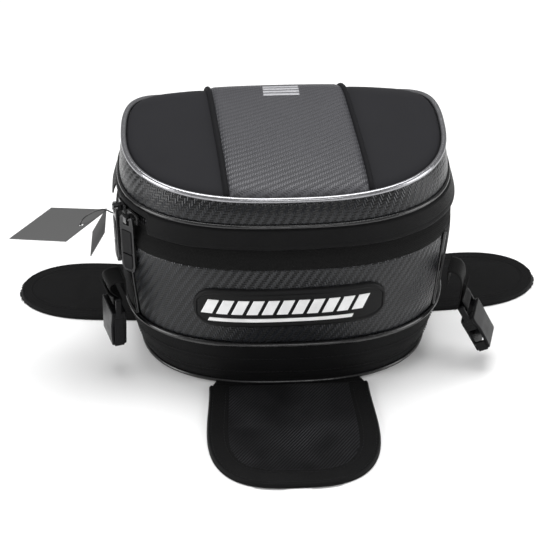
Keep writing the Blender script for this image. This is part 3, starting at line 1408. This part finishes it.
def flap_height(name, points, distance):
    """Height of the flap's face above its plane in millimetres: rolled edge, stitched border, pillows."""
    shape = FLAP_SHAPES[name]
    border = shape["border"]
    x, y = points[:, 0], points[:, 1]
    edge = -2.6 * np.clip(1 - distance / 2.0, 0, 1) ** 2
    stitched = -0.55 * np.exp(-((distance - border) / 0.9) ** 2)
    stitched = stitched - 0.3 * np.exp(-((distance - 3.6) / 0.7) ** 2)
    inside = np.clip((distance - border) / 2.5, 0, 1)
    pillow = 0.0
    for mx, my in shape["magnets"]:
        near = np.maximum(np.abs(x - mx), np.abs(y - my))
        pillow = pillow + 0.7 / (1 + np.exp((near - 21) / 1.6))
    sway = 0.5 * np.sin(x / 17 + 0.8) * np.sin(y / 23 + 0.4) + 0.35 * np.sin(x / 31 - y / 27)
    step = -0.75 * inside if name == "front" else 0
    return edge + stitched + step + pillow * inside + sway * np.clip(distance / 12, 0, 1) * 0.9


def build_flap(name):
    shape = FLAP_SHAPES[name]
    place, outwards = joint_place(f"flap_{name}_fold")
    across = outwards.cross(Vector((0, 0, 1)))
    rows, columns = 100, 110
    points = flap_grid(shape, rows, columns)
    outline = flap_outline(shape)
    distance = edge_distance(points, outline)
    height = flap_height(name, points, distance)
    origin = Vector((place.x, place.y, 0))

    def world(p, z):
        return origin + outwards * p[0] * MM + across * p[1] * MM + Vector((0, 0, z))

    verts = [world(p, FLAP_FACE + h * MM) for p, h in zip(points, height)]
    coords = [(p[0] * MM, p[1] * MM, 0) for p in points]
    faces = grid_faces(rows, columns)
    cover = new_piece(f"flap_{name}_fabric", verts, faces, coords)
    face_away(cover, origin + outwards * 50 * MM - Vector((0, 0, 1)))
    thicken(cover, 1.3 * MM)
    replaced = [f"flap_{name}_cover"] + (["flap_front_inlay"] if name == "front" else [])
    give(cover, SMOOTH_NYLON, f"flap_{name}", replaced)
    if name == "front":
        cover.data.materials.append(BALLISTIC)
        cloth = cover.data.attributes["cloth"]
        flat = np.zeros(len(cover.data.vertices) * 3)
        cloth.data.foreach_get("vector", flat)
        inner = edge_distance(flat.reshape(-1, 3)[:, :2] / MM, outline) > shape["border"] + 0.2
        for polygon in cover.data.polygons:
            polygon.material_index = int(all(inner[v] for v in polygon.vertices))
    under = [world(p, FLAP_BOTTOM) for p in points]
    backing = new_piece(f"flap_{name}_rubber", under, faces, coords)
    face_away(backing, origin + outwards * 50 * MM + Vector((0, 0, 1)))
    thicken(backing, 1.2 * MM)
    give(backing, PAD_RUBBER, f"flap_{name}", [f"flap_{name}_backing"])
    for row, inset in enumerate((shape["border"] - 2.2, 3.6)):
        line = inset_line(outline, inset)
        heights = flap_height(name, line, np.full(len(line), float(inset)))
        path = [world(p, FLAP_FACE + (h + 0.12) * MM) for p, h in zip(line, heights)]
        give(stitches(f"flap_{name}_stitching_{row + 1}", path), THREAD, f"flap_{name}")
    build_flap_web(name, place, outwards, across)


def inset_line(outline, inset):
    """The outline moved inwards by some millimetres, without its stretch beyond the root."""
    ahead = np.roll(outline, -1, axis=0) - np.roll(outline, 1, axis=0)
    ahead[0], ahead[-1] = outline[1] - outline[0], outline[-1] - outline[-2]
    normal = np.stack([-ahead[:, 1], ahead[:, 0]], axis=1)
    normal /= np.maximum(np.linalg.norm(normal, axis=1, keepdims=True), 1e-9)
    line = outline + normal * inset
    keep = edge_distance(line, outline) > inset - 0.15
    return line[keep & (line[:, 0] > 2)]


def build_flap_web(name, place, outwards, across):
    """The strip of cloth that joins the flap's root to the bag's base and bends with the flap."""
    shape = FLAP_SHAPES[name]
    columns, rows = 60, 16
    half = shape["root_half"]
    verts, coords = [], []
    for i in range(rows):
        t = i / (rows - 1)
        for j in range(columns):
            side = half * (2 * j / (columns - 1) - 1)
            end = Vector((place.x, place.y, 0)) + outwards * 5 * MM + across * side * MM
            angle = math.atan2(end.y - outwards.y * 5 * MM, end.x - outwards.x * 5 * MM)
            r = reach(angle, 3 * MM) - 4.6 * MM
            start = Vector((r * math.cos(angle), r * math.sin(angle), 0))
            p = start.lerp(end, t)
            p.z = (1.9 + 0.5 * t) * MM
            verts.append(p)
            coords.append((p.x, p.y, 0))
    web = new_piece(f"flap_{name}_web", verts, grid_faces(rows, columns), coords)
    face_away(web, Vector((place.x, place.y, -1)))
    thicken(web, 1.0 * MM, 0)
    web.data.materials.append(SMOOTH_NYLON)
    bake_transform(web)


# ---- Swing tag --------------------------------------------------------------------------------------
def build_tag():
    for node, name in (("swing_tag", "swing_tag_card"), ("tag_slip", "tag_slip_card")):
        piece = refined_copy(node, name, 0.18 * MM, 2)
        normal = max(piece.data.polygons, key=lambda p: p.area).normal.copy()
        piece.data.materials.append(CARD)
        piece.data.materials.append(CARD_CORE)
        lay_cloth(piece.data, [v.co for v in piece.data.vertices])
        for polygon in piece.data.polygons:
            polygon.material_index = 0 if abs(polygon.normal.dot(normal)) > 0.8 else 1
        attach(piece, "pull_rear")
        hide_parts(node)
    give(NODES["tag_fastener"], FASTENER)


# ---- Studio -----------------------------------------------------------------------------------------
def area_light(name, place, aim, size, power):
    light = bpy.data.lights.new(name, "AREA")
    light.shape = "RECTANGLE"
    light.size, light.size_y = size
    light.energy = power
    lamp = linked(name, light)
    lamp.location = place
    lamp.rotation_euler = (aim - Vector(place)).to_track_quat("-Z", "Y").to_euler()


SKY_LIGHT = 0.3
FLOOR_HALF = 6.0
LIGHTS = [("overhead", (0.0, 0.25, 1.5), (1.3, 0.9), 22),
          ("left_box", (-1.5, -0.5, 0.55), (0.9, 1.2), 17),
          ("right_box", (1.5, -0.4, 0.6), (0.9, 1.2), 14),
          ("front_fill", (0.2, -1.9, 1.4), (1.0, 0.5), 7)]


def build_studio():
    middle = (CAD_LOW + CAD_HIGH) / 2
    finish = Finish("studio_floor", 0.9, Specular_IOR_Level=0.1)
    dust = finish.noise(finish.place(on_cloth=False), 0.4, 2)
    finish.color(finish.blend(dust, rgb(0.93, 0.93, 0.93), rgb(0.955, 0.955, 0.955)))
    level = CAD_LOW.z - 0.3 * MM
    corners = [(x * FLOOR_HALF, y * FLOOR_HALF, level) for x, y in ((-1, -1), (1, -1), (1, 1), (-1, 1))]
    floor = new_piece("floor", corners, [(0, 1, 2, 3)])
    floor.data.materials.append(finish.material)
    world = bpy.data.worlds.new("studio")
    bpy.context.scene.world = world
    world.use_nodes = True
    sky = world.node_tree.nodes["Background"]
    seen = world.node_tree.nodes.new("ShaderNodeLightPath").outputs["Is Camera Ray"]
    strength = world.node_tree.nodes.new("ShaderNodeMapRange")
    world.node_tree.links.new(seen, strength.inputs["Value"])
    strength.inputs["To Min"].default_value = SKY_LIGHT
    sky.inputs["Color"].default_value = (1, 1, 1, 1)
    world.node_tree.links.new(strength.outputs["Result"], sky.inputs["Strength"])
    for name, place, size, power in LIGHTS:
        area_light(name, place, Vector((middle.x, middle.y, 0.1)), size, power)
    bpy.context.scene.view_settings.view_transform = "Standard"
    bpy.context.scene.view_settings.look = "None"


def build_camera():
    azimuth, elevation, distance = math.radians(-3), math.radians(34), 1.4
    target = Vector((-0.0115, 0, 0.0575))
    back = Vector((math.sin(azimuth) * math.cos(elevation), -math.cos(azimuth) * math.cos(elevation),
                   math.sin(elevation)))
    data = bpy.data.cameras.new("camera")
    data.lens, data.sensor_width = 100, 36
    camera = linked("camera", data)
    camera.location = target + back * distance
    camera.rotation_euler = (-back).to_track_quat("-Z", "Y").to_euler()
    bpy.context.scene.camera = camera


build_camera()
build_studio()
build_base()
build_walls()
build_zipper()
build_lid()
build_badge_plate()
build_badge_bars()
build_pulls()
for strap_side in ("left", "right"):
    build_strap(strap_side)
for flap_name in FLAP_SHAPES:
    build_flap(flap_name)
build_tag()
for node_name, node in NODES.items():
    if "magnet" in node_name:
        give(node, MAGNET)
